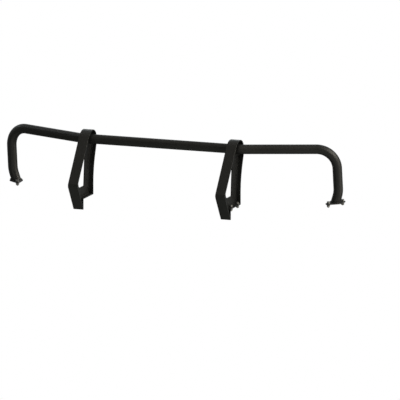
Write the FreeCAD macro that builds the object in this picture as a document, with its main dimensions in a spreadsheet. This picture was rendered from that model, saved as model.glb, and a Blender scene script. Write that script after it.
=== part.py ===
"""Front grille guard: a bent tube hoop carried by two plate uprights and two end feet.

The frame has +X to the guard's own left-to-right, +Y rearwards, towards the vehicle, and +Z up.
Its origin is the centre of the four upright bolts, on the plane where the guard sits on the bumper.
"""
import FreeCAD, Part
import math
import os

import Sketcher

V = FreeCAD.Vector
X_AXIS = V(1, 0, 0)
Z_AXIS = V(0, 0, 1)
UPRIGHT_PLANE = FreeCAD.Rotation(V(1, 1, 1), 120)  # turns a sketch's x and y to the frame's Y and Z
SIDES = {"left": -1, "right": 1}

# alias, millimetres or degrees, what it sizes
SIZES = [
    ("tube_diameter", 50.8, "hoop tube, outside"),
    ("tube_wall", 3.0, "hoop tube, wall"),
    ("tube_y", 54.5, "hoop's straight middle run, centre line"),
    ("tube_height", 297, "hoop's level runs, centre line above the mounting plane"),
    ("sweep_x", 440, "where the middle run meets the swept-back run"),
    ("sweep_radius", 108, "bend between those two runs"),
    ("corner_x", 913, "top corner of the hoop"),
    ("corner_y", 235.6, "top corner of the hoop"),
    ("corner_radius", 111, "bend at the top corner"),
    ("ankle_x", 913, "where the leg turns in to its foot"),
    ("ankle_y", 267.4, "where the leg turns in to its foot"),
    ("ankle_height", 60, "where the leg turns in to its foot"),
    ("ankle_radius", 148, "bend at that turn"),
    ("foot_x", 895.5, "centre of a foot plate"),
    ("foot_y", 269.9, "centre of a foot plate"),
    ("foot_angle", 62.2, "foot plate's long axis, from the X axis"),
    ("foot_half_length", 87, "foot plate's long corner, before it is rounded"),
    ("foot_half_width", 37, "foot plate's side corner, before it is rounded"),
    ("foot_end_radius", 14, "rounding of the long corners"),
    ("foot_side_radius", 20, "rounding of the side corners"),
    ("foot_bolt_spacing", 100, "the two bolts of a foot"),
    ("plate", 6.35, "thickness of every plate and strap"),
    ("upright_x", 413.2, "middle plane of an upright"),
    ("strap_width", 54.5, "width of the strap and the saddle"),
    ("toe_y", -80.5, "strap's inner face, lowest point in front"),
    ("toe_z", -56, "strap's inner face, lowest point in front"),
    ("knee_y", -169.7, "strap's inner face, foremost corner"),
    ("knee_z", 83.7, "strap's inner face, foremost corner"),
    ("knee_radius", 16, "bend at the knee"),
    ("crest_front_y", 19.3, "strap's inner face, front corner of the crest"),
    ("crest_rear_y", 136, "strap's inner face, rear corner of the crest"),
    ("crest_z", 339.6, "strap's inner face, top"),
    ("crest_front_radius", 64, "front bend of the crest"),
    ("crest_rear_radius", 54, "rear bend of the crest"),
    ("waist_z", 140, "strap's inner face, where the rear run turns upright"),
    ("waist_radius", 450, "bend at the waist"),
    ("heel_y", 59.7, "strap's inner face, on its upright run down to the saddle"),
    ("bumper_front_y", -82, "rear face of the saddle's leg, against the bumper's front"),
    ("saddle_bend_radius", 3, "inside of the saddle's bend"),
    ("window_z", 56.8, "window in the web, lower edge"),
    ("window_rear_y", -7.4, "window's lower rear corner"),
    ("window_front_y", -114.2, "window's lower front corner"),
    ("window_top_y", 10.7, "window's top corner"),
    ("window_top_z", 262, "window's top corner"),
    ("window_front_radius", 25.5, "rounding of the window's front corner"),
    ("window_rear_radius", 6, "rounding of the window's rear corner"),
    ("window_top_radius", 12.4, "rounding of the window's top corner"),
    ("tube_hole_gap", 0.2, "radial gap between the tube and its hole in the web"),
    ("weld_leg", 6, "leg of the fillet welds around the tube"),
    ("upright_bolt_x", 429, "line of the upright bolts"),
    ("upright_bolt_spacing", 95, "the two bolts of an upright"),
    ("bolt_hole_diameter", 11.5, "hole for a bolt in a plate"),
    ("bumper_sheet", 4, "bumper sheet that the bolts clamp"),
    ("neck_diameter", 10, "bolt, full neck in the washer and the plate"),
    ("body_diameter", 9.52, "bolt, plain body in the bumper sheet"),
    ("thread_diameter", 9, "bolt, its thread as a plain cylinder"),
    ("bolt_tip", 2.5, "thread showing below the nut"),
    ("tip_chamfer", 1, "chamfer of the bolt's tip"),
    ("hex_flats", 14.3, "bolt head and nut, across flats"),
    ("head_height", 6.4, "bolt head"),
    ("nut_height", 8, "nut"),
    ("thread_gap", 0.05, "radial gap between nut and thread"),
    ("washer_diameter", 20, "flat washer, outside"),
    ("washer_hole", 10.6, "washers, hole"),
    ("washer_thickness", 1.6, "flat washer"),
    ("lock_diameter", 17, "split lock washer, outside"),
    ("lock_thickness", 2.4, "split lock washer"),
    ("lock_split", 1.6, "gap in the split lock washer"),
]

doc = FreeCAD.newDocument("GrilleGuard")
sheet = doc.addObject("Spreadsheet::Sheet", "Sizes")
for row, (alias, value, note) in enumerate(SIZES, 1):
    sheet.set(f"A{row}", alias)
    sheet.set(f"B{row}", str(value))
    sheet.set(f"C{row}", note)
    sheet.setAlias(f"B{row}", alias)
doc.recompute()

S = {alias: float(sheet.get(alias)) for alias, value, note in SIZES}
HEX_CHAMFER = math.tan(math.radians(30))  # drop of the corners of a hexagon per millimetre outwards
HEX_CROWN = 0.48  # radius of the round face that the chamfer leaves, as a share of the flats
WELD_TOE = 0.2  # a fillet weld's thickness where it runs out on the tube
nodes = []


def add(kind, name, **bound):
    """A new object, with each property named here bound to an expression."""
    thing = doc.addObject(kind, name)
    for prop, expression in bound.items():
        thing.setExpression(prop.replace("__", "."), expression)
    return thing


def node(thing):
    """Marks an object as a sub-part, which gets its own file."""
    nodes.append(thing)
    return thing


def move(thing, **places):
    """Binds the named coordinates of an object's Placement to expressions."""
    for letter, expression in places.items():
        thing.setExpression(f"Placement.Base.{letter}", expression)
    return thing


def cut(name, base, tool):
    """base with tool taken away."""
    thing = doc.addObject("Part::Cut", name)
    thing.Base = base
    thing.Tool = tool
    return thing


def fuse(name, *shapes):
    """One solid out of several."""
    thing = doc.addObject("Part::MultiFuse", name)
    thing.Shapes = list(shapes)
    thing.Refine = True
    return thing


def cylinder(name, diameter, height, bottom=None):
    """Upright cylinder on the Z axis, sized by expressions."""
    bound = {"Placement__Base__z": bottom} if bottom else {}
    return add("Part::Cylinder", name, Radius=f"({diameter}) / 2", Height=height, **bound)


# ---------------------------------------------------------------- sketches


def fix_point(sketch, shape, end, x, y):
    """Holds one point of a sketch at the coordinates that two expressions give."""
    for kind, expression in (("DistanceX", x), ("DistanceY", y)):
        value = float(sketch.evalExpression(expression))
        index = sketch.addConstraint(Sketcher.Constraint(kind, -1, 1, shape, end, value))
        sketch.setExpression(f"Constraints[{index}]", expression)


def round_corner(sketch, before, after, corner, way_in, way_out, trim, radius):
    """Tangent arc between two lines, with the sharp corner kept as a construction point."""
    x, y, bend = corner
    apex = V(float(sketch.evalExpression(x)), float(sketch.evalExpression(y)), 0)
    turn = 1 if way_in.cross(way_out).z > 0 else -1
    start = apex - way_in * trim
    centre = start + Z_AXIS.cross(way_in) * radius * turn
    angles = [math.atan2(p.y - centre.y, p.x - centre.x) for p in (start, apex + way_out * trim)]
    first, last = angles if turn > 0 else reversed(angles)
    arc = sketch.addGeometry(Part.ArcOfCircle(Part.Circle(centre, Z_AXIS, radius), first, last), False)
    near, far = (1, 2) if turn > 0 else (2, 1)
    sketch.addConstraint(Sketcher.Constraint("Tangent", before, 2, arc, near))
    sketch.addConstraint(Sketcher.Constraint("Tangent", after, 1, arc, far))
    point = sketch.addGeometry(Part.Point(apex), True)
    for line in (before, after):
        sketch.addConstraint(Sketcher.Constraint("PointOnObject", point, 1, line))
    fix_point(sketch, point, 1, x, y)
    index = sketch.addConstraint(Sketcher.Constraint("Radius", arc, radius))
    sketch.setExpression(f"Constraints[{index}]", bend)


def draw_outline(sketch, corners, closed=True):
    """Straight lines between corners (x, y, radius), each an expression or, with no radius, None."""
    number = lambda text: float(sketch.evalExpression(text)) if text else 0.0
    points = [V(number(x), number(y), 0) for x, y, bend in corners]
    radii = [number(bend) for x, y, bend in corners]
    count = len(points)
    runs = count if closed else count - 1
    ways = [(points[(i + 1) % count] - points[i]).normalize() for i in range(runs)]
    trims = [0.0] * count
    for i in range(0 if closed else 1, runs):
        trims[i] = radii[i] * math.tan(ways[i - 1].getAngle(ways[i]) / 2)
    lines = []
    for i, way in enumerate(ways):
        start = points[i] + way * trims[i]
        end = points[(i + 1) % count] - way * trims[(i + 1) % count]
        lines.append(sketch.addGeometry(Part.LineSegment(start, end), False))
    for i in range(0 if closed else 1, runs):
        if radii[i]:
            round_corner(sketch, lines[i - 1], lines[i], corners[i], ways[i - 1], ways[i], trims[i], radii[i])
        else:
            sketch.addConstraint(Sketcher.Constraint("Coincident", lines[i - 1], 2, lines[i], 1))
            fix_point(sketch, lines[i], 1, corners[i][0], corners[i][1])
    if not closed:
        fix_point(sketch, lines[0], 1, corners[0][0], corners[0][1])
        fix_point(sketch, lines[-1], 2, corners[-1][0], corners[-1][1])


def draw_circle(sketch, x, y, diameter):
    """Circle placed and sized by expressions."""
    centre = V(float(sketch.evalExpression(x)), float(sketch.evalExpression(y)), 0)
    size = float(sketch.evalExpression(diameter))
    circle = sketch.addGeometry(Part.Circle(centre, Z_AXIS, size / 2), False)
    fix_point(sketch, circle, 3, x, y)
    index = sketch.addConstraint(Sketcher.Constraint("Diameter", circle, size))
    sketch.setExpression(f"Constraints[{index}]", diameter)


def body_sketch(body, name, plane):
    """Sketch on one of a body's own origin planes."""
    sketch = body.newObject("Sketcher::SketchObject", name)
    sketch.AttachmentSupport = next(p for p in body.Origin.OriginFeatures if p.Role == plane)
    sketch.MapMode = "FlatFace"
    return sketch


def pad(body, name, sketch, length, midplane):
    """Pad of a sketch, its length an expression."""
    feature = body.newObject("PartDesign::Pad", name)
    feature.Profile = sketch
    feature.Midplane = midplane
    feature.setExpression("Length", length)
    sketch.Visibility = False
    return feature


def pocket(body, name, sketch):
    """Pocket of a sketch, through the whole body to both sides."""
    feature = body.newObject("PartDesign::Pocket", name)
    feature.Profile = sketch
    feature.Type = "ThroughAll"
    feature.Midplane = True
    return feature


# ---------------------------------------------------------------- uprights

# The strap's inner face, from its lowest point in front, over the tube, to the saddle behind.
STRAP_FACE = [
    ("Sizes.toe_y", "Sizes.toe_z", None),
    ("Sizes.knee_y", "Sizes.knee_z", "Sizes.knee_radius"),
    ("Sizes.crest_front_y", "Sizes.crest_z", "Sizes.crest_front_radius"),
    ("Sizes.crest_rear_y", "Sizes.crest_z", "Sizes.crest_rear_radius"),
    ("Sizes.heel_y", "Sizes.waist_z", "Sizes.waist_radius"),
    ("Sizes.heel_y", "Sizes.plate", None),
]
LEG_FRONT = "Sizes.bumper_front_y - Sizes.plate"
OUTER_BEND = "Sizes.saddle_bend_radius + Sizes.plate"
TOE_SLOPE = "(Sizes.knee_z - Sizes.toe_z) / (Sizes.knee_y - Sizes.toe_y)"


def on_lower_strap(y):
    """Height of the strap's inner face at this Y, on its run from the toe to the knee."""
    return f"Sizes.toe_z + ({y} - Sizes.toe_y) * {TOE_SLOPE}"


def make_web(side, sign):
    """Plate in the upright's middle plane, with a hole for the tube and a three-cornered window."""
    body = doc.addObject("PartDesign::Body", f"{side}_upright_web")
    outline = body_sketch(body, f"{side}_web_outline", "YZ_Plane")
    web_toe = (LEG_FRONT, on_lower_strap(LEG_FRONT), None)
    draw_outline(outline, [web_toe] + STRAP_FACE[1:] + [(LEG_FRONT, "Sizes.plate", OUTER_BEND)])
    pad(body, f"{side}_web_pad", outline, "Sizes.plate", True)
    openings = body_sketch(body, f"{side}_web_openings", "YZ_Plane")
    draw_outline(openings, [
        ("Sizes.window_rear_y", "Sizes.window_z", "Sizes.window_rear_radius"),
        ("Sizes.window_top_y", "Sizes.window_top_z", "Sizes.window_top_radius"),
        ("Sizes.window_front_y", "Sizes.window_z", "Sizes.window_front_radius"),
    ])
    hole = "Sizes.tube_diameter + 2 * Sizes.tube_hole_gap"
    draw_circle(openings, "Sizes.tube_y", "Sizes.tube_height", hole)
    pocket(body, f"{side}_web_pocket", openings)
    move(body, x=f"Sizes.upright_x * {sign}")
    node(body)


def make_strap(side, sign):
    """Flat bar bent round the web's edge, from the toe in front, over the tube, to the saddle."""
    face_line = doc.addObject("Sketcher::SketchObject", f"{side}_strap_line")
    draw_outline(face_line, STRAP_FACE, closed=False)
    face_line.Placement = FreeCAD.Placement(V(), UPRIGHT_PLANE)
    section = add("Part::Offset2D", f"{side}_strap_section", Value="-Sizes.plate")
    section.Source = face_line
    section.Fill = True
    section.Mode = "Skin"
    section.Join = "Intersection"
    bar = add("Part::Extrusion", f"{side}_strap_bar", LengthFwd="Sizes.strap_width")
    bar.Base = section
    bar.DirMode = "Custom"
    bar.Dir = X_AXIS
    bar.Solid = True
    bar.Symmetric = True
    below = add("Part::Box", f"{side}_strap_toe_cut", Length="2 * Sizes.strap_width",
                Width="Sizes.strap_width", Height="Sizes.strap_width")
    move(below, x="-Sizes.strap_width", y="Sizes.toe_y - Sizes.strap_width / 2",
         z="Sizes.toe_z - Sizes.strap_width")
    node(move(cut(f"{side}_upright_strap", bar, below), x=f"Sizes.upright_x * {sign}"))


def make_saddle(side, sign):
    """Bent plate that sits on the bumper's top and reaches down its front face."""
    body = doc.addObject("PartDesign::Body", f"{side}_upright_saddle")
    outline = body_sketch(body, f"{side}_saddle_outline", "YZ_Plane")
    heel = "Sizes.heel_y + Sizes.plate"
    draw_outline(outline, [
        (heel, "0", None),
        (heel, "Sizes.plate", None),
        (LEG_FRONT, "Sizes.plate", OUTER_BEND),
        (LEG_FRONT, on_lower_strap(LEG_FRONT), None),
        ("Sizes.bumper_front_y", on_lower_strap("Sizes.bumper_front_y"), None),
        ("Sizes.bumper_front_y", "0", "Sizes.saddle_bend_radius"),
    ])
    pad(body, f"{side}_saddle_pad", outline, "Sizes.strap_width", True)
    holes = body_sketch(body, f"{side}_saddle_holes", "XY_Plane")
    for end in (-1, 1):
        x = f"(Sizes.upright_bolt_x - Sizes.upright_x) * {sign}"
        draw_circle(holes, x, f"Sizes.upright_bolt_spacing / 2 * {end}", "Sizes.bolt_hole_diameter")
    pocket(body, f"{side}_saddle_pocket", holes)
    move(body, x=f"Sizes.upright_x * {sign}")
    node(body)


def make_tube_welds(side, sign):
    """Fillet weld around the tube on each face of the web."""
    rings = []
    for face in (-1, 1):
        tag = f"{side}_tube_weld_{'outer' if face == sign else 'inner'}"
        cone = add("Part::Cone", f"{tag}_cone", Radius1="Sizes.tube_diameter / 2 + Sizes.weld_leg",
                   Radius2=f"Sizes.tube_diameter / 2 + {WELD_TOE}", Height="Sizes.weld_leg")
        ring = cut(tag, cone, cylinder(f"{tag}_bore", "Sizes.tube_diameter", "Sizes.weld_leg"))
        ring.Placement = FreeCAD.Placement(V(), FreeCAD.Rotation(Z_AXIS, X_AXIS * face))
        rings.append(move(ring, x=f"Sizes.plate / 2 * {face}"))
    welds = doc.addObject("Part::Compound", f"{side}_tube_welds")
    welds.Links = rings
    node(move(welds, x=f"Sizes.upright_x * {sign}", y="Sizes.tube_y", z="Sizes.tube_height"))


# ---------------------------------------------------------------- hoop


def filleted_path(corners, radii):
    """Wire of straight runs joined by tangent arcs, one radius for each inner corner."""
    edges = []
    last = corners[0]
    for before, corner, after, radius in zip(corners, corners[1:], corners[2:], radii):
        back = (before - corner).normalize()
        ahead = (after - corner).normalize()
        half = back.getAngle(ahead) / 2
        start = corner + back * (radius / math.tan(half))
        end = corner + ahead * (radius / math.tan(half))
        to_centre = (back + ahead).normalize()
        middle = corner + to_centre * (radius / math.sin(half) - radius)
        edges += [Part.LineSegment(last, start).toShape(), Part.Arc(start, middle, end).toShape()]
        last = end
    edges.append(Part.LineSegment(last, corners[-1]).toShape())
    return Part.Wire(edges)


def mirrored(point):
    """The same point on the other side of the guard."""
    return V(-point.x, point.y, point.z)


FOOT_TOP = V(S["foot_x"], S["foot_y"], S["plate"])
ANKLE = V(S["ankle_x"], S["ankle_y"], S["ankle_height"])
CORNER = V(S["corner_x"], S["corner_y"], S["tube_height"])
SWEEP = V(S["sweep_x"], S["tube_y"], S["tube_height"])
FOOT_WAY = (FOOT_TOP - ANKLE).normalize()
OVERRUN = 25  # the tube is bent long, then cut off level with the foot plates
CUT_MARGIN = 200  # how far the cutting block reaches past the feet on every side


def make_hoop():
    """Round tube bent at six places, with its ends cut level to stand on the foot plates."""
    right = [SWEEP, CORNER, ANKLE, FOOT_TOP + FOOT_WAY * OVERRUN]
    corners = [mirrored(p) for p in reversed(right)] + right
    bends = [S["sweep_radius"], S["corner_radius"], S["ankle_radius"]]
    path = doc.addObject("Part::Feature", "hoop_path")
    path.Shape = filleted_path(corners, bends[::-1] + bends)
    start = FreeCAD.Placement(corners[0], FreeCAD.Rotation(Z_AXIS, corners[1] - corners[0]))
    pipes = []
    for name, wall in (("outside", "0"), ("bore", "Sizes.tube_wall")):
        circle = add("Part::Circle", f"hoop_{name}_circle", Radius=f"Sizes.tube_diameter / 2 - {wall}")
        circle.Placement = start
        pipe = doc.addObject("Part::Sweep", f"hoop_{name}")
        pipe.Sections = [circle]
        pipe.Spine = (path, [f"Edge{i + 1}" for i in range(len(path.Shape.Edges))])
        pipe.Solid = True
        pipes.append(pipe)
    long_tube = cut("hoop_long_tube", *pipes)
    ground = add("Part::Box", "hoop_cut_off", Length=f"2 * (Sizes.corner_x + {CUT_MARGIN})",
                 Width=f"2 * {CUT_MARGIN}", Height=f"{CUT_MARGIN}")
    move(ground, x=f"-Sizes.corner_x - {CUT_MARGIN}", y=f"Sizes.foot_y - {CUT_MARGIN}",
         z=f"Sizes.plate - {CUT_MARGIN}")
    node(cut("hoop_tube", long_tube, ground))


# ---------------------------------------------------------------- feet


def make_foot(side, sign):
    """Four-cornered plate with rounded corners and two bolt holes, under the end of the tube."""
    body = doc.addObject("PartDesign::Body", f"{side}_foot_plate")
    outline = body_sketch(body, f"{side}_foot_outline", "XY_Plane")
    draw_outline(outline, [
        ("0", "Sizes.foot_half_length", "Sizes.foot_end_radius"),
        ("-Sizes.foot_half_width", "0", "Sizes.foot_side_radius"),
        ("0", "-Sizes.foot_half_length", "Sizes.foot_end_radius"),
        ("Sizes.foot_half_width", "0", "Sizes.foot_side_radius"),
    ])
    pad(body, f"{side}_foot_pad", outline, "Sizes.plate", False)
    holes = body_sketch(body, f"{side}_foot_holes", "XY_Plane")
    for end in (-1, 1):
        draw_circle(holes, "0", f"Sizes.foot_bolt_spacing / 2 * {end}", "Sizes.bolt_hole_diameter")
    pocket(body, f"{side}_foot_pocket", holes)
    node(place_foot(body, sign))


def place_foot(thing, sign):
    """Turns a foot's piece to the foot's long axis and moves it to its place."""
    turn = FreeCAD.Rotation(Z_AXIS, (S["foot_angle"] - 90) * sign)
    thing.Placement = FreeCAD.Placement(V(), turn)
    return move(thing, x=f"Sizes.foot_x * {sign}", y="Sizes.foot_y")


def make_foot_weld(side, sign):
    """Fillet weld between the slanted end of the tube and its foot plate."""
    tag = f"{side}_foot_weld"
    up = V(-FOOT_WAY.x * sign, -FOOT_WAY.y, -FOOT_WAY.z)
    foot = V(FOOT_TOP.x * sign, FOOT_TOP.y, FOOT_TOP.z)
    slant = 1 / up.z  # a level section of the tube is this much longer than it is wide
    lean = FreeCAD.Rotation(X_AXIS, V(up.x, up.y, 0))
    rings = []
    for level, leg in (("0", "Sizes.weld_leg"), ("Sizes.weld_leg", WELD_TOE)):
        ring = add("Part::Ellipse", f"{tag}_ring_{len(rings)}",
                   MajorRadius=f"Sizes.tube_diameter / 2 * {slant} + {leg}",
                   MinorRadius=f"Sizes.tube_diameter / 2 + {leg}")
        ring.Placement = FreeCAD.Placement(foot, lean)
        move(ring, x=f"Sizes.foot_x * {sign} + {up.x / up.z} * {level}",
             y=f"Sizes.foot_y + {up.y / up.z} * {level}", z=f"Sizes.plate + {level}")
        rings.append(ring)
    collar = doc.addObject("Part::Loft", f"{tag}_collar")
    collar.Sections = rings
    collar.Solid = True
    collar.Ruled = True
    bore = cylinder(f"{tag}_bore", "Sizes.tube_diameter", f"2 * {OVERRUN}")
    bore.Placement = FreeCAD.Placement(foot - up * OVERRUN, FreeCAD.Rotation(Z_AXIS, up))
    node(cut(tag, collar, bore))


# ---------------------------------------------------------------- fasteners

# Heights of the stack: flat washer, lock washer and head above the plate, and under the bumper
# sheet a flat washer, the nut and the end of the thread.
LOCK_WASHER = "Sizes.plate + Sizes.washer_thickness"
HEAD_SEAT = f"{LOCK_WASHER} + Sizes.lock_thickness"
LOWER_WASHER = "-Sizes.bumper_sheet - Sizes.washer_thickness"
NUT = f"{LOWER_WASHER} - Sizes.nut_height"
TIP = f"{NUT} - Sizes.bolt_tip"


def hexagon(name, height, bottom, chamfer_top, chamfer_bottom):
    """Hexagonal block with its corners taken off at 30 degrees at the top, the bottom or both."""
    block = add("Part::Prism", f"{name}_block", Circumradius="Sizes.hex_flats / sqrt(3)", Height=height,
                Placement__Base__z=bottom)
    block.Polygon = 6
    narrow = f"Sizes.hex_flats * {HEX_CROWN}"
    wide = f"{narrow} + ({height}) / {HEX_CHAMFER}"
    shapes = [block]
    for chamfered, low, high in ((chamfer_top, wide, narrow), (chamfer_bottom, narrow, wide)):
        if chamfered:
            shapes.append(add("Part::Cone", f"{name}_cone_{len(shapes)}", Radius1=low, Radius2=high,
                              Height=height, Placement__Base__z=bottom))
    chamfered = doc.addObject("Part::MultiCommon", f"{name}_chamfered")
    chamfered.Shapes = shapes
    return chamfered


def make_bolt():
    """Hexagon-head bolt: head, full neck, plain body and thread."""
    head = hexagon("bolt_head", "Sizes.head_height", HEAD_SEAT, True, False)
    neck = cylinder("bolt_neck", "Sizes.neck_diameter", HEAD_SEAT)
    shank = cylinder("bolt_shank", "Sizes.body_diameter", "Sizes.bumper_sheet", "-Sizes.bumper_sheet")
    end = f"{TIP} + Sizes.tip_chamfer"
    thread = cylinder("bolt_thread", "Sizes.thread_diameter", f"-Sizes.bumper_sheet - ({end})", end)
    tip = add("Part::Cone", "bolt_tip", Radius1="Sizes.thread_diameter / 2 - Sizes.tip_chamfer",
              Radius2="Sizes.thread_diameter / 2", Height="Sizes.tip_chamfer", Placement__Base__z=TIP)
    return fuse("bolt", head, neck, shank, thread, tip)


def make_ring(name, outside, thickness, bottom):
    """Flat ring with the washers' hole."""
    disc = cylinder(f"{name}_disc", outside, thickness, bottom)
    return cut(name, disc, cylinder(f"{name}_hole", "Sizes.washer_hole", thickness, bottom))


def make_lock_washer():
    """Ring of square section, split at one place."""
    ring = make_ring("lock_ring", "Sizes.lock_diameter", "Sizes.lock_thickness", LOCK_WASHER)
    gap = add("Part::Box", "lock_gap", Length="Sizes.lock_diameter", Width="Sizes.lock_split",
              Height="Sizes.lock_thickness")
    move(gap, y="-Sizes.lock_split / 2", z=LOCK_WASHER)
    return cut("lock_washer", ring, gap)


def make_nut():
    """Hexagon nut, chamfered on both faces."""
    block = hexagon("nut", "Sizes.nut_height", NUT, True, True)
    bore = cylinder("nut_bore", "Sizes.thread_diameter + 2 * Sizes.thread_gap", "Sizes.nut_height", NUT)
    return cut("nut_bored", block, bore)


def make_pair(name, master, spacing):
    """The two fasteners of one place, as separate solids in one sub-part."""
    links = []
    for end, where in ((-1, "front"), (1, "rear")):
        link = doc.addObject("App::Link", f"{name}_{where}")
        link.LinkedObject = master
        link.setExpression("Placement.Base.y", f"{spacing} / 2 * {end}")
        links.append(link)
    pair = doc.addObject("Part::Compound", name)
    pair.Links = links
    return node(pair)


for side, sign in SIDES.items():
    make_web(side, sign)
    make_strap(side, sign)
    make_saddle(side, sign)
    make_tube_welds(side, sign)
    make_foot(side, sign)
    make_foot_weld(side, sign)
make_hoop()

masters = {
    "bolts": make_bolt(),
    "top_washers": make_ring("top_washer", "Sizes.washer_diameter", "Sizes.washer_thickness", "Sizes.plate"),
    "lower_washers": make_ring("lower_washer", "Sizes.washer_diameter", "Sizes.washer_thickness",
                               LOWER_WASHER),
    "lock_washers": make_lock_washer(),
    "nuts": make_nut(),
}
for side, sign in SIDES.items():
    for kind, master in masters.items():
        pair = make_pair(f"{side}_upright_{kind}", master, "Sizes.upright_bolt_spacing")
        move(pair, x=f"Sizes.upright_bolt_x * {sign}")
        place_foot(make_pair(f"{side}_foot_{kind}", master, "Sizes.foot_bolt_spacing"), sign)

# ---------------------------------------------------------------- checks and files

doc.recompute()
failed = [f"{o.Label}: {o.State}" for o in doc.Objects if {"Invalid", "Error"} & set(o.State)]
failed += [f"{o.Label}: bad shape" for o in nodes if o.Shape.isNull() or not o.Shape.isValid()]
if failed:
    raise RuntimeError("; ".join(failed))
os.makedirs("parts", exist_ok=True)
for piece in nodes:
    piece.Shape.exportStep(f"parts/{piece.Label}.step")
    print(f"{piece.Label}: {len(piece.Shape.Solids)} solids, {piece.Shape.Volume / 1000:.1f} cm3")
print(f"{len(nodes)} sub-parts")
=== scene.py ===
"""Front grille guard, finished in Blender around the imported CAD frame.

The saddles and foot plates are the CAD shapes with softened edges. The webs and straps are rebuilt from
the CAD outlines with true arcs, and the hoop is swept afresh as one smooth tube. Welds and fasteners are
built in full: rippled beads, chamfered hexagons, real threads and split lock washers.
"""

import math

import bmesh
import bpy
from mathutils import Matrix, Vector


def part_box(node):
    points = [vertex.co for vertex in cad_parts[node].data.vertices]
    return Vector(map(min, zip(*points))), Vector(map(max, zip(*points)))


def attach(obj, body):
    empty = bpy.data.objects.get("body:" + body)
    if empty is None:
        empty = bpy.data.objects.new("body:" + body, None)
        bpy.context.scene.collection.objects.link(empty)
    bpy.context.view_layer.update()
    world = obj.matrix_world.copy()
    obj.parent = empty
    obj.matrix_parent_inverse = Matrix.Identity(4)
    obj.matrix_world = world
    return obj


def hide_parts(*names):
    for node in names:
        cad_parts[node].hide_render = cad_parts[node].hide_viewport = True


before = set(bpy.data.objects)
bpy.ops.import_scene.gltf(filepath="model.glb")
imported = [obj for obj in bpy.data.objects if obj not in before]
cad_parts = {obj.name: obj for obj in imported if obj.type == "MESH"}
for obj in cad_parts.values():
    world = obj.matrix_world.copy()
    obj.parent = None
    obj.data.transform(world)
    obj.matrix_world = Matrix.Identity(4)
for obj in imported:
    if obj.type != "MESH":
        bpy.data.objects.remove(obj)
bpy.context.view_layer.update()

BODY = "root"
COAT, ZINC = "black_coat", "zinc_plate"
SIDES = ("left", "right")
PLACES = ("left_upright", "right_upright", "left_foot", "right_foot")
MM = 0.001
X_AXIS = Vector((1.0, 0.0, 0.0))

# The photograph's viewing angle, in degrees, and how much of the world its frame takes in.
VIEW_AZIMUTH = 20.56
VIEW_ELEVATION = 10.86
VIEW_WIDTH = 2.1014
HOOP_CENTRE = Vector((0.0, 0.0545, 0.297))  # middle of the hoop's straight run
AIM_RIGHT = 0.2023  # the frame's centre, from there, along the picture's right
AIM_UP = -0.2953
CAMERA_DISTANCE = 8.0
CAMERA_REACH = 100.0  # past the whole stage

FLOOR_HEIGHT = -6.0  # low enough for the views from below
FLOOR_SIZE = 60.0
DOME_RADIUS = 58.0

WARM = (1.08, 1.03, 0.89)
PALE = (1.03, 1.04, 0.93)
COOL = (0.95, 1.02, 1.03)
BROAD, NARROW, TIGHT = 6, 24, 80  # how tightly a soft light is gathered round its direction
# Where each soft light comes from, how tight it is, its strength and its tint.
LIGHTS = (
    ((2, 0, 1), TIGHT, 16.5, WARM),
    ((2, 1, 2), TIGHT, 8.8, WARM),
    ((2, -1, 1), TIGHT, 5.8, WARM),
    ((1, 0, 0), BROAD, 1.1, WARM),
    ((1, -1, -1), NARROW, 0.6, WARM),
    ((0, 0, 1), BROAD, 0.48, WARM),
    ((0, -1, 1), NARROW, 0.95, WARM),
    ((0, -1, 0), NARROW, 0.75, PALE),
    ((0, -1, -1), BROAD, 0.42, PALE),
    ((0, 0, -1), BROAD, 0.23, PALE),
    ((-1, 0, 0), BROAD, 0.3, PALE),
    ((-1, 1, 0), BROAD, 0.3, COOL),
    ((0, 1, 0), BROAD, 0.3, COOL),
    ((0, 1, 1), BROAD, 0.3, COOL),
    ((-3, 1, 2), TIGHT, 3.4, COOL),
    ((-1, 3, 1), TIGHT, 1.5, COOL),
)
# A soft round panel close to the guard's right leg, which lights that leg more than the left one.
PANEL_PLACE = Vector((1.80, 0.30, -0.20))
PANEL_WIDTH = 0.6
PANEL_WATTS = 0.9
PANEL_TINT = (1.0, 0.97, 0.86)

# The hoop's route to the right of its middle: each corner with the radius of its bend, then the foot.
HOOP_BENDS = (
    (Vector((0.4400, 0.0545, 0.297)), 0.108),
    (Vector((0.9130, 0.2356, 0.297)), 0.111),
    (Vector((0.9130, 0.2674, 0.060)), 0.148),
)
HOOP_FOOT = Vector((0.8955, 0.2699, 0.00635))
TUBE_RADIUS = 25.4 * MM
TUBE_WALL = 3.0 * MM
TUBE_AROUND = 96  # points round the tube
ARC_STEP = math.radians(1.75)  # the most that a bend turns from one point to the next

EDGE_RADIUS = 0.9 * MM  # powder-coated plate edges
EDGE_STEPS = 4  # across a rounded edge
CORNER_RADIUS = 1.2 * MM  # sharp corners of a plate's outline
CORNER_STEPS = 6  # along a rounded corner
SHARP_TURN = math.radians(30)  # edges and corners that turn by more than this are sharp ones
CHORD_TURN = math.radians(20)  # the chords of a CAD bend turn by less than this
CHORD_MATCH = 0.03  # and their lengths agree to this share

BEAD_LEG = 4.6 * MM  # fillet welds along the plates
BEAD_ROOT = 0.35 * MM  # a bead sinks this far into both faces, so that no gap shows
BEAD_PITCH = 4.2 * MM  # from one weld ripple to the next
BEAD_STEP = BEAD_PITCH / 6  # from one section of a bead to the next
BEAD_ACROSS = 6  # steps across a bead's face
BEAD_FACE = 0.74  # how far the face stands out beside its toes, as a share of the leg
BEAD_BULGE = 0.10  # and how much further in its middle
RIPPLE_LOW = 0.90  # a bead's size between two ripples
RIPPLE_RISE = 0.16  # and how much a ripple adds
UNEVENNESS = ((0.05, 0.37, 0.0), (0.04, 0.113, 1.0))  # waves of a hand-laid bead: size, step and start

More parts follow.
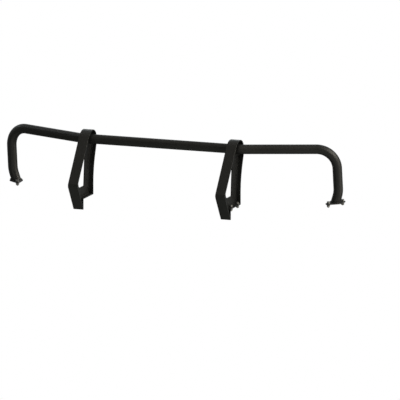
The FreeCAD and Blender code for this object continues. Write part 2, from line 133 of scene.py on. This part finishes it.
# Fasteners: heights from the frame, and sizes of 3/8 inch hardware.
HEAD_LOW, HEAD_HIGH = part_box("left_upright_lock_washers")[1].z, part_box("left_upright_bolts")[1].z
NUT_LOW, NUT_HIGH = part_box("left_upright_nuts")[0].z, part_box("left_upright_nuts")[1].z
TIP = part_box("left_upright_bolts")[0].z
AROUND = 60  # points round a bolt or nut
HEX_FLATS = 14.3 * MM
HEX_CROWN = HEX_FLATS / 2 * 0.955  # radius of the round face inside a chamfer
HEX_SLOPE = math.tan(math.radians(30))  # of a chamfer
HEX_SOFT = 0.15 * MM  # edges that aren't chamfered
FACE_HEIGHT = 0.4 * MM  # the washer face under a head
FACE_RADIUS = HEX_FLATS / 2 * 0.94
FACE_SINK = 0.08 * MM  # it reaches this far into the head
FACE_LAP = 0.3 * MM  # and this far into the neck, so that no gap shows
FACE_SOFT = 0.1 * MM
THREAD_RADIUS = 4.76 * MM
THREAD_DEPTH = 0.92 * MM
THREAD_PITCH = 1.5875 * MM
THREAD_STEP = THREAD_PITCH / 10
THREAD_FLAT = 0.1  # share of a turn that is flat at the thread's crest, and again at its root
TIP_SLOPE = 1.1  # how fast the chamfered tip widens
NECK_RADIUS = 5.0 * MM  # the plain part through the plate
NECK_STEP = 0.2 * MM  # half the height of the step from thread size to neck
RUN_OUT = 0.4 * MM  # from the nut's top to where the thread has faded out
BORE_RADIUS = THREAD_RADIUS + 0.05 * MM
COUNTERSINK = 0.6 * MM
WASHER_BORE = 5.3 * MM
FLAT_RADIUS = 10.0 * MM
FLAT_SOFT = 0.35 * MM
FLAT_AROUND = 64  # points round a flat washer
LOCK_RADIUS = 8.5 * MM
LOCK_SOFT = 0.3 * MM
LOCK_STEPS = 72  # along the winding
LOCK_GAP = 0.20  # radians between the ends of the winding
LOCK_SLANT = 0.22  # radians that each end leans, from bottom to top
TURNS = (0.21, 0.83, 0.55, 1.02)  # each fastener stops at its own angle, in radians
LOCK_SPREAD = 3.0  # and the gaps of the lock washers lie this much further apart


# ---------------------------------------------------------------- materials


class Nodes:
    """An emptied node tree, and short calls to fill it."""

    def __init__(self, owner):
        owner.use_nodes = True
        self.tree = owner.node_tree
        self.tree.nodes.clear()

    def add(self, kind, **settings):
        node = self.tree.nodes.new(kind)
        for key, value in settings.items():
            setattr(node, key, value)
        return node

    def link(self, source, target):
        self.tree.links.new(source, target)


class Shader(Nodes):
    """A material's node tree with a Principled shader, and short calls for procedural detail."""

    def __init__(self, name):
        self.material = bpy.data.materials.new(name)
        super().__init__(self.material)
        out = self.add("ShaderNodeOutputMaterial")
        self.main = self.add("ShaderNodeBsdfPrincipled")
        self.link(self.main.outputs["BSDF"], out.inputs["Surface"])
        self.place = self.add("ShaderNodeTexCoord").outputs["Object"]

    def noise(self, size, detail, roughness=0.5):
        """Noise whose features are about this many metres across."""
        node = self.add("ShaderNodeTexNoise")
        node.inputs["Scale"].default_value = 1.0 / size
        node.inputs["Detail"].default_value = detail
        node.inputs["Roughness"].default_value = roughness
        self.link(self.place, node.inputs["Vector"])
        return node.outputs["Fac"]

    def remap(self, value, to_low=0.0, to_high=1.0, low=0.3, high=0.7):
        """value from low..high, where most noise lies, to to_low..to_high, held at the ends."""
        node = self.add("ShaderNodeMapRange")
        for key, number in zip(("From Min", "From Max", "To Min", "To Max"), (low, high, to_low, to_high)):
            node.inputs[key].default_value = number
        self.link(value, node.inputs["Value"])
        return node.outputs["Result"]

    def blend(self, amount, dark, light):
        """Colour between two others."""
        node = self.add("ShaderNodeMix", data_type="RGBA")
        self.link(amount, node.inputs["Factor"])
        node.inputs["A"].default_value = (*dark, 1.0)
        node.inputs["B"].default_value = (*light, 1.0)
        return node.outputs["Result"]

    def both(self, first, second):
        """Sum of two values."""
        node = self.add("ShaderNodeMath", operation="ADD")
        self.link(first, node.inputs[0])
        self.link(second, node.inputs[1])
        return node.outputs["Value"]

    def bump(self, heights, distance):
        """Raised detail on the surface: distance is the height in metres of a height of 1."""
        node = self.add("ShaderNodeBump")
        node.inputs["Strength"].default_value = 1.0
        node.inputs["Distance"].default_value = distance
        self.link(heights, node.inputs["Height"])
        self.link(node.outputs["Normal"], self.main.inputs["Normal"])


def powder_coat():
    """Satin black powder coat: orange peel, and slight drift in colour and gloss."""
    s = Shader("satin_black_powder_coat")
    deep = (0.0085, 0.0086, 0.009)
    pale = (0.0125, 0.0127, 0.0135)
    drift = s.remap(s.noise(0.11, detail=3.0), low=0.35, high=0.65)
    s.link(s.blend(drift, deep, pale), s.main.inputs["Base Color"])
    patches = s.remap(s.noise(0.05, detail=4.0, roughness=0.6), to_low=0.40, to_high=0.50)
    grain = s.remap(s.noise(0.0006, detail=1.0), to_low=-0.03, to_high=0.03)
    s.link(s.both(patches, grain), s.main.inputs["Roughness"])
    s.main.inputs["Specular IOR Level"].default_value = 0.42
    peel = s.remap(s.noise(0.0022, detail=2.0))
    fine = s.remap(s.noise(0.0007, detail=1.0), to_high=0.4)
    s.bump(s.both(peel, fine), distance=0.00002)
    return s.material


def zinc_plate():
    """Dull zinc on turned and cold-headed steel: cloudy sheen, fine tool marks, a little dulling."""
    s = Shader("dull_zinc_plate")
    grey = (0.22, 0.22, 0.225)
    bright = (0.33, 0.33, 0.32)
    cloud = s.remap(s.noise(0.006, detail=3.0), low=0.35, high=0.65)
    s.link(s.blend(cloud, grey, bright), s.main.inputs["Base Color"])
    s.main.inputs["Metallic"].default_value = 1.0
    dulling = s.remap(s.noise(0.004, detail=4.0, roughness=0.6), to_low=0.36, to_high=0.52)
    s.link(dulling, s.main.inputs["Roughness"])
    marks = s.remap(s.noise(0.0004, detail=2.0))
    s.bump(marks, distance=0.000012)
    return s.material


MATERIALS = {COAT: powder_coat(), ZINC: zinc_plate()}


# ---------------------------------------------------------------- meshes


def piece(name, bm, slot, *stands_for, sharp):
    """A visible piece of the guard, riding on its body, with its finish and the CAD nodes it stands for.

    Its faces are shaded smooth, and edges that turn by more than sharp degrees stay crisp.
    """
    for face in bm.faces:
        face.smooth = True
    for edge in bm.edges:
        if len(edge.link_faces) == 2 and edge.calc_face_angle(0.0) > math.radians(sharp):
            edge.smooth = False
    mesh = bpy.data.meshes.new(name)
    bm.to_mesh(mesh)
    bm.free()
    mesh.materials.append(MATERIALS[slot])
    thing = bpy.data.objects.new(name, mesh)
    bpy.context.scene.collection.objects.link(thing)
    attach(thing, BODY)
    if stands_for:
        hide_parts(*stands_for)
    return thing


def coated_plate(name, bm, node):
    """A coated plate whose flat faces are shaded flat up to their rounded edges."""
    thing = piece(name, bm, COAT, node, sharp=35.0)
    shading = thing.modifiers.new("even_shading", "WEIGHTED_NORMAL")
    shading.keep_sharp = True


def welded_copy(node):
    """The CAD node's own shape as one clean bmesh: seams joined and flat faces whole."""
    bm = bmesh.new()
    bm.from_mesh(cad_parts[node].data)
    bmesh.ops.remove_doubles(bm, verts=bm.verts, dist=0.005 * MM)
    bmesh.ops.dissolve_limit(bm, angle_limit=math.radians(0.2), verts=bm.verts, edges=bm.edges)
    bmesh.ops.recalc_face_normals(bm, faces=bm.faces)
    return bm


def skin(bm, rings, closed):
    """Quads between rings of vertices that each go all the way round."""
    pairs = list(zip(rings, rings[1:])) + ([(rings[-1], rings[0])] if closed else [])
    for one, two in pairs:
        for i in range(len(one)):
            j = (i + 1) % len(one)
            bm.faces.new((one[i], one[j], two[j], two[i]))


# ---------------------------------------------------------------- plates


def rounded_plate(name, node):
    """A CAD plate with its edges rounded over, as cut and coated steel has them."""
    bm = welded_copy(node)
    edges = [e for e in bm.edges if len(e.link_faces) == 2 and e.calc_face_angle(0.0) > SHARP_TURN]
    bmesh.ops.bevel(bm, geom=edges, offset=EDGE_RADIUS, segments=3, profile=0.5, affect="EDGES",
                    clamp_overlap=True)
    bmesh.ops.triangulate(bm, faces=[f for f in bm.faces if len(f.verts) > 4])
    coated_plate(name, bm, node)


def turn_at(loop, i):
    """Signed turn of an outline in the YZ plane at its point i."""
    before = loop[i] - loop[i - 1]
    after = loop[(i + 1) % len(loop)] - loop[i]
    return math.atan2(before.y * after.z - before.z * after.y, before.y * after.y + before.z * after.z)


def arc_points(start, chord, turn, steps):
    """Points inside an arc that begins at start, spans the chord and turns by this angle about X."""
    points = []
    for k in range(1, steps):
        part = turn * k / steps
        way = Matrix.Rotation((part - turn) / 2, 3, "X") @ chord
        points.append(start + way * (math.sin(part / 2) / math.sin(turn / 2)))
    return points


def finer(loop):
    """The outline with every chord of its bends divided along the true arc."""
    count = len(loop)
    lengths = [(loop[(i + 1) % count] - loop[i]).length for i in range(count)]
    result = []
    for i in range(count):
        result.append(loop[i])
        bend = 0.0
        for neighbour, corner in ((i - 1, i), ((i + 1) % count, (i + 1) % count)):
            turn = turn_at(loop, corner)
            if abs(lengths[neighbour] / lengths[i] - 1.0) < CHORD_MATCH and abs(turn) < CHORD_TURN:
                bend = turn
        if bend:
            steps = math.ceil(abs(bend) / ARC_STEP)
            result += arc_points(loop[i], loop[(i + 1) % count] - loop[i], bend, steps)
    return result


def softened(loop):
    """The outline with its sharp corners rounded."""
    count = len(loop)
    result = []
    for i, corner in enumerate(loop):
        turn = turn_at(loop, i)
        if abs(turn) < SHARP_TURN:
            result.append(corner)
            continue
        trim = CORNER_RADIUS * math.tan(abs(turn) / 2)
        start = corner + (loop[i - 1] - corner).normalized() * trim
        end = corner + (loop[(i + 1) % count] - corner).normalized() * trim
        result += [start] + arc_points(start, end - start, turn, CORNER_STEPS) + [end]
    return result


def inset(loop, depth):
    """The outline moved sideways by this depth, into the plate."""
    moved = []
    for i, point in enumerate(loop):
        before = (point - loop[i - 1]).normalized()
        after = (loop[(i + 1) % len(loop)] - point).normalized()
        left = X_AXIS.cross(before + after).normalized()
        moved.append(point + left * (depth / math.cos(turn_at(loop, i) / 2)))
    return moved


def outlines(node):
    """Outlines of a plate that is parallel to the YZ plane: the outer one, then its openings.

    They lie in the plate's +X face, and seen from there the plate is on their left.
    """
    bm = welded_copy(node)
    faces = {f for f in bm.faces if f.normal.x > 0.99}  # those that face +X
    rim = [e for e in bm.edges if len(faces & set(e.link_faces)) == 1]
    loops = []
    while rim:
        edge = rim.pop()
        loop = [edge.verts[0], edge.verts[1]]
        while True:
            ahead = next((e for e in rim if loop[-1] in e.verts), None)
            if ahead is None:
                break
            rim.remove(ahead)
            loop.append(ahead.other_vert(loop[-1]))
        loops.append([v.co.copy() for v in loop[:-1]])
    bm.free()
    loops.sort(key=lambda loop: min(p.z for p in loop) - max(p.z for p in loop))
    ordered = []
    for index, loop in enumerate(loops):
        area = sum(a.y * b.z - b.y * a.z for a, b in zip(loop, loop[1:] + loop[:1]))
        ordered.append(finer(loop if (area > 0) == (index == 0) else loop[::-1]))
    return ordered


def cut_plate(name, node):
    """A plate parallel to the YZ plane, or a bar bent in it, with its edges rounded over."""
    low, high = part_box(node)
    bm = bmesh.new()
    rims = ([], [])
    steps = [math.pi / 2 * k / EDGE_STEPS for k in range(EDGE_STEPS + 1)]
    quarter = [(EDGE_RADIUS * (1.0 - math.sin(a)), EDGE_RADIUS * (1.0 - math.cos(a))) for a in steps]
    section = [(depth, high.x - drop) for depth, drop in quarter]
    section += [(depth, low.x + drop) for depth, drop in reversed(quarter)]
    for loop in outlines(node):
        outline = softened(loop)
        rings = []
        for depth, x in section:
            rings.append([bm.verts.new((x, p.y, p.z)) for p in inset(outline, depth)])
        skin(bm, rings, closed=False)
        for rim, ring in zip(rims, (rings[0], rings[-1])):
            rim += [bm.edges.get(pair) for pair in zip(ring, ring[1:] + ring[:1])]
    for rim in rims:
        bmesh.ops.triangle_fill(bm, edges=rim, use_beauty=True)
    bmesh.ops.recalc_face_normals(bm, faces=bm.faces)
    coated_plate(name, bm, node)


# ---------------------------------------------------------------- weld beads


def even_points(points, step):
    """Points at an even step along a closed line."""
    loop = points + [points[0]]
    lengths = [(b - a).length for a, b in zip(loop, loop[1:])]
    count = round(sum(lengths) / step)
    pitch = sum(lengths) / count
    result = []
    run, start = 0, 0.0
    for i in range(count):
        at = i * pitch
        while at > start + lengths[run]:
            start += lengths[run]
            run += 1
        result.append(loop[run].lerp(loop[run + 1], (at - start) / lengths[run]))
    return result


def bead_section(wall, floor, size):
    """Points round a bead in the corner of two faces: its root, then its bulging face."""
    section = [wall * -BEAD_ROOT - floor * BEAD_ROOT, wall * size - floor * BEAD_ROOT]
    for k in range(1, BEAD_ACROSS):
        t = k / BEAD_ACROSS * math.pi / 2
        bulge = BEAD_FACE + BEAD_BULGE * math.sin(2.0 * t)
        reach = size * bulge / max(math.cos(t), math.sin(t))
        section.append(wall * (math.cos(t) * reach) + floor * (math.sin(t) * reach))
    section.append(floor * size - wall * BEAD_ROOT)
    return section


def bead(name, points, wall_ways, floor_ways, leg, *stands_for):
    """Rippled fillet weld in the corner along a closed line of points.

    wall_ways and floor_ways give, at each point, the directions of the two faces that it joins.
    """
    bm = bmesh.new()
    total = sum((b - a).length for a, b in zip(points, points[1:] + points[:1]))
    ripples = round(total / BEAD_PITCH)
    rings = []
    for i, (point, wall, floor) in enumerate(zip(points, wall_ways, floor_ways)):
        phase = (i / len(points) * ripples) % 1.0
        swell = RIPPLE_LOW + RIPPLE_RISE * math.sqrt(1.0 - (2.0 * phase - 1.0) ** 2)
        wander = 1.0 + sum(size * math.sin(i * step + start) for size, step, start in UNEVENNESS)
        section = bead_section(wall, floor, leg * swell * wander)
        rings.append([bm.verts.new(point + across) for across in section])
    skin(bm, rings, closed=True)
    bmesh.ops.recalc_face_normals(bm, faces=bm.faces)
    piece(name, bm, COAT, *stands_for, sharp=70.0)


def web_beads(side):
    """Fillet welds all round both faces of a web, where the strap and the saddle meet it."""
    node = f"{side}_upright_web"
    low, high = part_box(node)
    line = even_points(outlines(node)[0], BEAD_STEP)
    count = len(line)
    inward = [X_AXIS.cross(line[(i + 2) % count] - line[i - 2]).normalized() for i in range(count)]
    for face, x, outward in (("minus_x", low.x, -X_AXIS), ("plus_x", high.x, X_AXIS)):
        points = [Vector((x, p.y, p.z)) for p in line]
        bead(f"{side}_web_bead_{face}", points, inward, [outward] * count, BEAD_LEG)


def tube_beads(side):
    """Ring welds round the hoop on both faces of a web."""
    node = f"{side}_tube_welds"
    low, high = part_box(node)
    web_low, web_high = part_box(f"{side}_upright_web")
    middle = (low + high) / 2
    leg = high.x - web_high.x
    count = round(math.tau * TUBE_RADIUS / BEAD_STEP)
    angles = [math.tau * i / count for i in range(count)]
    ways = [Vector((0.0, math.cos(a), math.sin(a))) for a in angles]
    faces = (("minus_x", web_low.x, -X_AXIS, ()), ("plus_x", web_high.x, X_AXIS, (node,)))
    for face, x, outward, stands_for in faces:
        points = [Vector((x, middle.y, middle.z)) + way * TUBE_RADIUS for way in ways]
        bead(f"{side}_tube_bead_{face}", points, ways, [outward] * count, leg, *stands_for)


def foot_bead(side, rim, up):
    """Ring weld round the level end of the hoop, rim, where it stands on its foot plate."""
    node = f"{side}_foot_weld"
    low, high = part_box(node)
    points = even_points(rim, BEAD_STEP)
    middle = sum(points, Vector()) / len(points)
    outward = [(p - middle).normalized() for p in points]
    bead(f"{side}_foot_bead", points, outward, [up] * len(points), high.z - low.z, node)


# ---------------------------------------------------------------- hoop


def bend_stations(before, corner, after, radius):
    """Centre points and directions along the arc that rounds a corner of the hoop."""
    way_in = (corner - before).normalized()
    way_out = (after - corner).normalized()
    turn = way_in.angle(way_out)
    axis = way_in.cross(way_out).normalized()
    start = corner - way_in * (radius * math.tan(turn / 2))
    centre = start + axis.cross(way_in) * radius
    steps = math.ceil(turn / ARC_STEP)
    stations = []
    for k in range(steps + 1):
        rotation = Matrix.Rotation(turn * k / steps, 3, axis)
        stations.append((centre + rotation @ (start - centre), rotation @ way_in))
    return stations


def mirrored(point):
    """The same point on the other side of the guard."""
    return Vector((-point.x, point.y, point.z))


def hoop_stations():
    """Centre points and directions along the whole hoop, from the left foot to the right one."""
    bends = [(mirrored(corner), radius) for corner, radius in reversed(HOOP_BENDS)] + list(HOOP_BENDS)
    route = [mirrored(HOOP_FOOT)] + [corner for corner, radius in bends] + [HOOP_FOOT]
    stations = [(route[0], (route[1] - route[0]).normalized())]
    for i, (corner, radius) in enumerate(bends):
        stations += bend_stations(route[i], corner, route[i + 2], radius)
    stations.append((route[-1], (route[-1] - route[-2]).normalized()))
    return stations


def tube_rings(bm, stations, radius):
    """Rings of a round tube along the stations, its two ends cut off level on the foot plates."""
    before = stations[0][1]
    out = before.orthogonal().normalized()
    rings = []
    for centre, way in stations:
        out = before.rotation_difference(way) @ out
        before = way
        side = way.cross(out)
        ring = []
        for i in range(TUBE_AROUND):
            a = math.tau * i / TUBE_AROUND
            point = centre + (out * math.cos(a) + side * math.sin(a)) * radius
            if centre.z == HOOP_FOOT.z:
                point += way * ((HOOP_FOOT.z - point.z) / way.z)
            ring.append(bm.verts.new(point))
        rings.append(ring)
    return rings


def hoop():
    """The hoop as one smooth bent tube, hollow, with a weld round each of its ends."""
    bm = bmesh.new()
    stations = hoop_stations()
    outside = tube_rings(bm, stations, TUBE_RADIUS)
    inside = tube_rings(bm, stations, TUBE_RADIUS - TUBE_WALL)
    left_rim, right_rim = ([v.co.copy() for v in ring] for ring in (outside[0], outside[-1]))
    skin(bm, outside + inside[::-1], closed=True)
    bmesh.ops.recalc_face_normals(bm, faces=bm.faces)
    piece("hoop_tube_coated", bm, COAT, "hoop_tube", sharp=40.0)
    foot_bead("left", left_rim, stations[0][1])
    foot_bead("right", right_rim, -stations[-1][1])


# ---------------------------------------------------------------- fasteners


def centres(node):
    """Where the separate solids of a node stand, from the front backwards."""
    bm = welded_copy(node)
    left = set(bm.verts)
    found = []
    while left:
        queue = [left.pop()]
        island = list(queue)
        while queue:
            vert = queue.pop()
            for edge in vert.link_edges:
                other = edge.other_vert(vert)
                if other in left:
                    left.remove(other)
                    queue.append(other)
                    island.append(other)
        xs = [v.co.x for v in island]
        ys = [v.co.y for v in island]
        found.append(Vector(((min(xs) + max(xs)) / 2, (min(ys) + max(ys)) / 2, 0.0)))
    bm.free()
    return sorted(found, key=lambda p: p.y)


def stop_angle(place, index):
    """How far a bolt or nut of this place is turned."""
    return TURNS[(index + PLACES.index(place)) % len(TURNS)]


def spot(bm, at, radius, angle, height):
    """Vertex at this radius, angle and height round the vertical line through at."""
    return bm.verts.new(at + Vector((radius * math.cos(angle), radius * math.sin(angle), height)))


def ring_of(bm, at, sizes, turn=0.0):
    """Ring of vertices round the vertical line through at; sizes holds a (radius, height) for each."""
    return [spot(bm, at, r, math.tau * i / len(sizes) + turn, z) for i, (r, z) in enumerate(sizes)]


def rounded_ring(inner, outer, bottom, top, soft):
    """Section of a flat ring, as (radius, height) points, with its edges rounded by soft."""
    mid = soft * 0.3  # how far the middle of a rounded edge lies in from both faces
    return [
        (inner, bottom + soft), (inner + mid, bottom + mid), (inner + soft, bottom),
        (outer - soft, bottom), (outer - mid, bottom + mid), (outer, bottom + soft),
        (outer, top - soft), (outer - mid, top - mid), (outer - soft, top),
        (inner + soft, top), (inner + mid, top - mid), (inner, top - soft),
    ]


def lathe(bm, at, profile, around):
    """Closed ring turned about the vertical line through at; profile is (radius, height) points."""
    skin(bm, [ring_of(bm, at, [point] * around) for point in profile], closed=True)


def hexagon_radii():
    """Distance from the centre to the sides of a hexagon, all the way round."""
    offsets = [(math.tau * i / AROUND % (math.pi / 3)) - math.pi / 6 for i in range(AROUND)]
    return [HEX_FLATS / 2 / math.cos(offset) for offset in offsets]


def hex_end(bm, at, turn, z, inward, chamfered):
    """Two rings at one end of a hexagonal block: round its end face, then round its sides.

    z is the end's height, and inward is 1 at the bottom end and -1 at the top one.
    """
    radii = hexagon_radii()
    if chamfered:
        face = [(HEX_CROWN, z)] * AROUND
        sides = [(r, z + inward * ((r - HEX_CROWN) * HEX_SLOPE)) for r in radii]
    else:
        face = [(r - HEX_SOFT, z) for r in radii]
        sides = [(r, z + inward * HEX_SOFT) for r in radii]
    return [ring_of(bm, at, face, turn), ring_of(bm, at, sides, turn)]


def hex_rings(bm, at, turn, bottom, top, chamfer_bottom):
    """Rings of a hexagonal block, bottom to top, chamfered at its top and perhaps at its bottom."""
    lower = hex_end(bm, at, turn, bottom, 1.0, chamfer_bottom)
    upper = hex_end(bm, at, turn, top, -1.0, True)
    return lower + upper[::-1]


def thread_rings(bm, at):
    """Rings of a bolt's right-hand thread, from its chamfered tip to the nut's top."""
    steps = round((NUT_HIGH - TIP) / THREAD_STEP)
    root = THREAD_RADIUS - THREAD_DEPTH
    rings = []
    for k in range(steps + 1):
        z = TIP + (NUT_HIGH - TIP) * k / steps
        sizes = []
        for i in range(AROUND):
            phase = (z / THREAD_PITCH - i / AROUND) % 1.0
            flank = (abs(2.0 * phase - 1.0) - THREAD_FLAT) / (1.0 - 2.0 * THREAD_FLAT)
            radius = THREAD_RADIUS - THREAD_DEPTH * min(1.0, max(0.0, flank))
            sizes.append((min(radius, root + (z - TIP) * TIP_SLOPE), z))
        rings.append(ring_of(bm, at, sizes))
    return rings


def bolts(place):
    """Hexagon-head bolts with a washer face under the head and a real thread at the tip."""
    node = f"{place}_bolts"
    bm = bmesh.new()
    neck_top = HEAD_LOW + FACE_HEIGHT
    for index, at in enumerate(centres(node)):
        head = hex_rings(bm, at, stop_angle(place, index), neck_top, HEAD_HIGH, chamfer_bottom=False)
        skin(bm, head, closed=False)
        bm.faces.new(head[-1])
        bm.faces.new(head[0][::-1])
        face = rounded_ring(NECK_RADIUS - FACE_LAP, FACE_RADIUS, HEAD_LOW, neck_top + FACE_SINK, FACE_SOFT)
        lathe(bm, at, face, AROUND)
        shank = thread_rings(bm, at)
        for size in ((THREAD_RADIUS, NUT_HIGH + RUN_OUT), (THREAD_RADIUS, -NECK_STEP),
                     (NECK_RADIUS, NECK_STEP), (NECK_RADIUS, neck_top)):
            shank.append(ring_of(bm, at, [size] * AROUND))
        skin(bm, shank, closed=False)
        bm.faces.new(shank[0][::-1])
        bm.faces.new(shank[-1])
    bmesh.ops.recalc_face_normals(bm, faces=bm.faces)
    piece(f"{place}_hex_bolts", bm, ZINC, node, sharp=25.0)


def nuts(place):
    """Hexagon nuts chamfered on both faces, with a plain bore countersunk at both ends."""
    node = f"{place}_nuts"
    bm = bmesh.new()
    for index, at in enumerate(centres(node)):
        turn = stop_angle(place, index + 2)
        rings = hex_rings(bm, at, turn, NUT_LOW, NUT_HIGH, chamfer_bottom=True)
        for size in ((BORE_RADIUS + COUNTERSINK, NUT_HIGH), (BORE_RADIUS, NUT_HIGH - COUNTERSINK),
                     (BORE_RADIUS, NUT_LOW + COUNTERSINK), (BORE_RADIUS + COUNTERSINK, NUT_LOW)):
            rings.append(ring_of(bm, at, [size] * AROUND, turn))
        skin(bm, rings, closed=True)
    bmesh.ops.recalc_face_normals(bm, faces=bm.faces)
    piece(f"{place}_hex_nuts", bm, ZINC, node, sharp=25.0)


def flat_washers(place, kind):
    """Pressed flat washers with their edges rounded by the punch."""
    node = f"{place}_{kind}"
    low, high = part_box(node)
    bm = bmesh.new()
    for at in centres(node):
        lathe(bm, at, rounded_ring(WASHER_BORE, FLAT_RADIUS, low.z, high.z, FLAT_SOFT), FLAT_AROUND)
    bmesh.ops.recalc_face_normals(bm, faces=bm.faces)
    piece(f"{place}_flat_{kind}", bm, ZINC, node, sharp=40.0)


def lock_washers(place):
    """Split spring washers: a square wire wound once, with a slanting gap."""
    node = f"{place}_lock_washers"
    low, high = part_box(node)
    bm = bmesh.new()
    section = rounded_ring(WASHER_BORE, LOCK_RADIUS, low.z, high.z, LOCK_SOFT)
    slants = [(z - low.z) / (high.z - low.z) * LOCK_SLANT for radius, z in section]
    for index, at in enumerate(centres(node)):
        start = TURNS[index] * LOCK_SPREAD
        rings = []
        for i in range(LOCK_STEPS + 1):
            wound = (math.tau - LOCK_GAP) * i / LOCK_STEPS
            rings.append([spot(bm, at, radius, start + slant + wound, z)
                          for (radius, z), slant in zip(section, slants)])
        skin(bm, rings, closed=False)
        bm.faces.new(rings[0][::-1])
        bm.faces.new(rings[-1])
    bmesh.ops.recalc_face_normals(bm, faces=bm.faces)
    piece(f"{place}_split_washers", bm, ZINC, node, sharp=40.0)


# ---------------------------------------------------------------- the guard


def build_guard():
    """Every visible piece."""
    hoop()
    for side in SIDES:
        for part in ("upright_web", "upright_strap"):
            cut_plate(f"{side}_{part}_coated", f"{side}_{part}")
        for part in ("upright_saddle", "foot_plate"):
            rounded_plate(f"{side}_{part}_coated", f"{side}_{part}")
        web_beads(side)
        tube_beads(side)
    for place in PLACES:
        bolts(place)
        nuts(place)
        lock_washers(place)
        for kind in ("top_washers", "lower_washers"):
            flat_washers(place, kind)


# ---------------------------------------------------------------- stage, light and camera


def view_axes():
    """Right, up and back directions of the photograph's camera."""
    turn, rise = math.radians(VIEW_AZIMUTH), math.radians(VIEW_ELEVATION)
    right = Vector((math.cos(turn), math.sin(turn), 0.0))
    up = Vector((-math.sin(turn) * math.sin(rise), math.cos(turn) * math.sin(rise), math.cos(rise)))
    return right, up, right.cross(up)


def make_camera():
    """Parallel-projection camera at the photograph's viewing angle."""
    right, up, back = view_axes()
    data = bpy.data.cameras.new("camera")
    data.type = "ORTHO"
    data.ortho_scale = VIEW_WIDTH
    data.clip_end = CAMERA_REACH
    camera = bpy.data.objects.new("camera", data)
    bpy.context.scene.collection.objects.link(camera)
    aim = HOOP_CENTRE + right * AIM_RIGHT + up * AIM_UP
    facing = Matrix((right, up, back)).transposed().to_4x4()
    camera.matrix_world = Matrix.Translation(aim + back * CAMERA_DISTANCE) @ facing
    bpy.context.scene.camera = camera


def white_stage():
    """Plain pale floor and backdrop dome, seen by the camera and left out of the guard's reflections."""
    material = bpy.data.materials.new("studio_white")
    nodes = Nodes(material)
    out = nodes.add("ShaderNodeOutputMaterial")
    glow = nodes.add("ShaderNodeEmission")
    glow.inputs["Color"].default_value = (1.0, 1.0, 1.0, 1.0)
    glow.inputs["Strength"].default_value = 1.0
    nodes.link(glow.outputs["Emission"], out.inputs["Surface"])
    bm = bmesh.new()
    level = Matrix.Translation((0.0, 0.0, FLOOR_HEIGHT))
    bmesh.ops.create_grid(bm, x_segments=1, y_segments=1, size=FLOOR_SIZE, matrix=level)
    bmesh.ops.create_icosphere(bm, subdivisions=4, radius=DOME_RADIUS)
    mesh = bpy.data.meshes.new("stage")
    bm.to_mesh(mesh)
    bm.free()
    mesh.materials.append(material)
    stage = bpy.data.objects.new("stage_floor", mesh)
    bpy.context.scene.collection.objects.link(stage)
    stage.visible_diffuse = False
    stage.visible_glossy = False
    stage.visible_shadow = False


def soft_light(nodes, way, direction, tightness, strength, tint):
    """Light that comes from one direction and fades softly away from it."""
    facing = nodes.add("ShaderNodeVectorMath", operation="DOT_PRODUCT")
    facing.inputs[1].default_value = Vector(direction).normalized()
    nodes.link(way, facing.inputs[0])
    ahead = nodes.add("ShaderNodeMath", operation="MAXIMUM")
    ahead.inputs[1].default_value = 0.0
    nodes.link(facing.outputs["Value"], ahead.inputs[0])
    spread = nodes.add("ShaderNodeMath", operation="POWER")
    spread.inputs[1].default_value = tightness
    nodes.link(ahead.outputs["Value"], spread.inputs[0])
    tinted = nodes.add("ShaderNodeVectorMath", operation="SCALE")
    tinted.inputs[0].default_value = Vector(tint) * strength
    nodes.link(spread.outputs["Value"], tinted.inputs["Scale"])
    return tinted.outputs["Vector"]


def soft_sky():
    """Surroundings that shed the sum of all the soft lights."""
    world = bpy.data.worlds.new("studio")
    bpy.context.scene.world = world
    nodes = Nodes(world)
    out = nodes.add("ShaderNodeOutputWorld")
    glow = nodes.add("ShaderNodeBackground")
    nodes.link(glow.outputs["Background"], out.inputs["Surface"])
    way = nodes.add("ShaderNodeTexCoord").outputs["Generated"]
    lights = [soft_light(nodes, way, *light) for light in LIGHTS]
    total = lights[0]
    for light in lights[1:]:
        both = nodes.add("ShaderNodeVectorMath", operation="ADD")
        nodes.link(total, both.inputs[0])
        nodes.link(light, both.inputs[1])
        total = both.outputs["Vector"]
    nodes.link(total, glow.inputs["Color"])


def side_panel():
    """Soft round panel that faces the middle of the guard's right leg."""
    data = bpy.data.lights.new("side_panel", "AREA")
    data.shape = "DISK"
    data.size = PANEL_WIDTH
    data.energy = PANEL_WATTS
    data.color = PANEL_TINT
    panel = bpy.data.objects.new("side_panel", data)
    bpy.context.scene.collection.objects.link(panel)
    (top, _), (bottom, _) = HOOP_BENDS[1:]
    panel.location = PANEL_PLACE
    panel.rotation_euler = ((top + bottom) / 2 - PANEL_PLACE).to_track_quat("-Z", "Y").to_euler()
    panel.visible_camera = False


def make_studio():
    """White stage and soft light, most of it from the upper right."""
    white_stage()
    soft_sky()
    side_panel()
    bpy.context.scene.view_settings.view_transform = "Standard"


build_guard()
make_studio()
make_camera()
